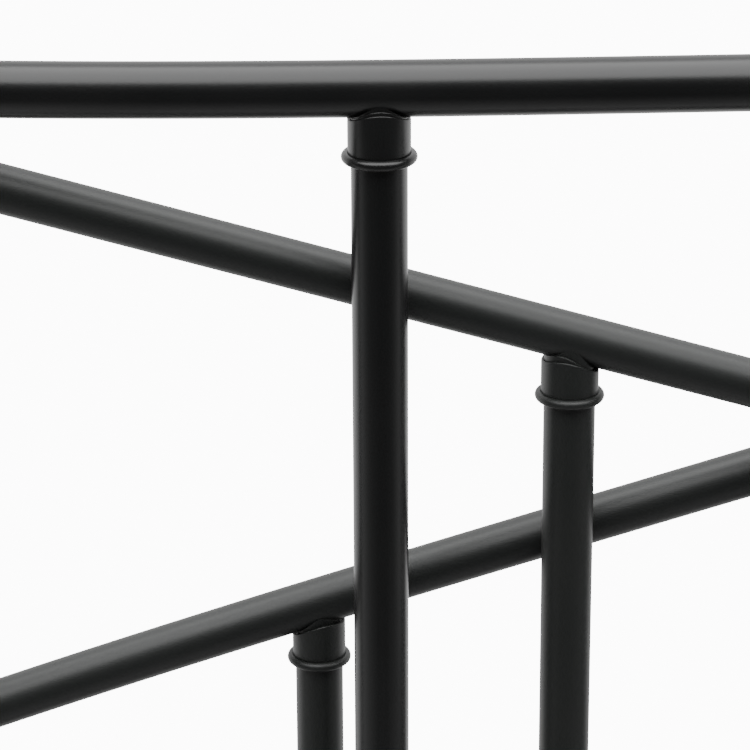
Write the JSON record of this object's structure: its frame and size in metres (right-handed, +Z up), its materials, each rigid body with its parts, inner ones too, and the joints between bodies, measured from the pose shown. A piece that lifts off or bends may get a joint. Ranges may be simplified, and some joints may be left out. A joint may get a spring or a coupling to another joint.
{
  "type": "metal bed frame",
  "caption": "Satin black twin metal bed frame with a bowed top rail, crossing brace tubes, collared round spindles, angle-steel side rails and steel slats.",
  "frame": {"origin": "middle of the footprint on the floor", "axes": "+X to the right seen from the foot of the bed, +Y towards the head, +Z up"},
  "size_m": [1.0908, 2.0502, 1.0984],
  "materials": {
    "frame_steel": "satin black powder coat",
    "deck_steel": "satin black powder coat, a little drier",
    "black_plastic": "matte moulded",
    "zinc_steel": "zinc-plated"
  },
  "bodies": {
    "root": {"head_post_left": "frame_steel", "head_post_cap_left": "frame_steel", "head_bolt_left": "zinc_steel", "head_post_right": "frame_steel", "head_post_cap_right": "frame_steel", "head_bolt_right": "zinc_steel", "tail_post_left": "frame_steel", "tail_post_cap_left": "frame_steel", "tail_bolt_left": "zinc_steel", "tail_post_right": "frame_steel", "tail_post_cap_right": "frame_steel", "tail_bolt_right": "zinc_steel", "head_top_rail": "frame_steel", "head_brace_falling": "frame_steel", "head_brace_rising": "frame_steel", "head_sill": "frame_steel", "tail_top_rail": "frame_steel", "tail_sill": "frame_steel", "front_spindle_1": "frame_steel", "front_collar_1": "frame_steel", "front_spindle_2": "frame_steel", "front_collar_2": "frame_steel", "front_spindle_3": "frame_steel", "front_collar_3": "frame_steel", "middle_spindle_1": "frame_steel", "middle_collar_1": "frame_steel", "middle_spindle_2": "frame_steel", "middle_collar_2": "frame_steel", "middle_spindle_3": "frame_steel", "middle_collar_3": "frame_steel", "rear_spindle_1": "frame_steel", "rear_collar_1": "frame_steel", "rear_spindle_2": "frame_steel", "rear_collar_2": "frame_steel", "rear_spindle_3": "frame_steel", "rear_collar_3": "frame_steel", "tail_spindle_1": "frame_steel", "tail_collar_1": "frame_steel", "tail_spindle_2": "frame_steel", "tail_collar_2": "frame_steel", "tail_spindle_3": "frame_steel", "tail_collar_3": "frame_steel", "side_rail_left": "frame_steel", "side_rail_right": "frame_steel", "slat_1": "deck_steel", "slat_2": "deck_steel", "slat_3": "deck_steel", "slat_4": "deck_steel", "slat_5": "deck_steel", "slat_6": "deck_steel", "slat_7": "deck_steel", "slat_8": "deck_steel", "slat_9": "deck_steel", "centre_beam": "deck_steel", "centre_leg": "deck_steel"},
    "glide_head_left": {"head_foot_left": "black_plastic"},
    "glide_head_right": {"head_foot_right": "black_plastic"},
    "glide_tail_left": {"tail_foot_left": "black_plastic"},
    "glide_tail_right": {"tail_foot_right": "black_plastic"},
    "glide_centre": {"centre_foot": "black_plastic"}
  },
  "joints": [
    {"name": "glide_head_left_travel", "type": "slide", "parent": "root", "child": "glide_head_left", "axis": [0, 0, -1], "range_m": [0, 0.012]},
    {"name": "glide_head_right_travel", "type": "slide", "parent": "root", "child": "glide_head_right", "axis": [0, 0, -1], "range_m": [0, 0.012]},
    {"name": "glide_tail_left_travel", "type": "slide", "parent": "root", "child": "glide_tail_left", "axis": [0, 0, -1], "range_m": [0, 0.012]},
    {"name": "glide_tail_right_travel", "type": "slide", "parent": "root", "child": "glide_tail_right", "axis": [0, 0, -1], "range_m": [0, 0.012]},
    {"name": "glide_centre_travel", "type": "slide", "parent": "root", "child": "glide_centre", "axis": [0, 0, -1], "range_m": [0, 0.012]}
  ]
}
